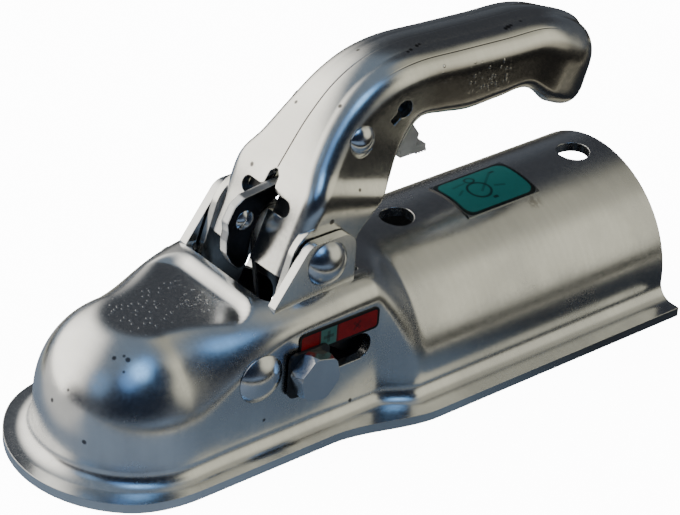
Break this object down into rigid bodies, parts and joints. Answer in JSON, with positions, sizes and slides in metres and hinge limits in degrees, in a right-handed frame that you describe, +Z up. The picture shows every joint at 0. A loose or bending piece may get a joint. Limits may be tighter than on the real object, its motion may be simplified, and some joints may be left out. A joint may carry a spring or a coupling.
{
  "type": "trailer coupling head",
  "caption": "Pressed steel coupling head for a 50 mm tow ball, with a lift-up lock handle, wear indicator and a half-round socket for a 60 mm drawbar.",
  "frame": {"origin": "centre of the tow ball when the coupling is closed on it", "axes": "+X back along the drawbar, +Y to the right seen from behind the nose, +Z up"},
  "size_m": [0.2129, 0.0834, 0.1014],
  "materials": {
    "zinc_housing": "satin zinc plating with soft reflections",
    "zinc_handle": "satin zinc plating",
    "bright_zinc": "bright zinc plating",
    "plain_steel": "plain zinc plating",
    "spring_steel": "oiled spring wire",
    "dark_jaw": "dark hardened steel",
    "dark_catch": "dark steel with bright edges",
    "black_plate": "black plate",
    "wear_print": "printed film, red and green fields",
    "fitting_print": "printed film, green with dark lines"
  },
  "bodies": {
    "housing": {"coupling_housing": "zinc_housing", "pivot_rivet": "bright_zinc", "pivot_bush": "plain_steel", "return_spring": "spring_steel", "jaw_rivet_left": "bright_zinc", "jaw_rivet_right": "bright_zinc", "jaw_spacers": "plain_steel", "wear_label": "wear_print", "fitting_label": "fitting_print"},
    "handle": {"handle_lever": "zinc_handle", "catch_pin": "bright_zinc", "catch_bushes": "plain_steel"},
    "catch": {"lock_plate": "dark_catch", "plate_rivet": "bright_zinc", "release_trigger": "plain_steel", "trigger_link_pin": "bright_zinc", "catch_spring": "spring_steel"},
    "indicator": {"indicator_bolt": "bright_zinc", "bolt_nut": "bright_zinc", "pointer_plate_left": "black_plate", "pointer_plate_right": "black_plate", "bolt_sleeve": "plain_steel"},
    "jaw": {"ball_jaw": "dark_jaw"}
  },
  "joints": [
    {"name": "handle_lift", "type": "hinge", "parent": "housing", "child": "handle", "pos_m": [0.049, 0, 0.04], "axis": [0, -1, 0], "range_deg": [0, 40], "stiffness_Nm_per_rad": 1.2, "springref_deg": -34.38, "deforming": ["return_spring"]},
    {"name": "catch_release", "type": "hinge", "parent": "handle", "child": "catch", "pos_m": [0.066, 0, 0.07], "axis": [0, -1, 0], "range_deg": [0, 7], "stiffness_Nm_per_rad": 0.4, "springref_deg": -22.92, "deforming": ["catch_spring"]},
    {"name": "indicator_slide", "type": "slide", "parent": "housing", "child": "indicator", "axis": [1, 0, 0], "range_m": [0, 0.0196]},
    {"name": "jaw_turn", "type": "hinge", "parent": "housing", "child": "jaw", "pos_m": [0.0226, 0, 0.0144], "axis": [0, -1, 0], "range_deg": [0, 15.05]}
  ],
  "couplings": [
    {"joint": "indicator_slide", "follows": "handle_lift", "m_per_rad": 0.027931},
    {"joint": "jaw_turn", "follows": "handle_lift", "ratio": 0.375}
  ]
}
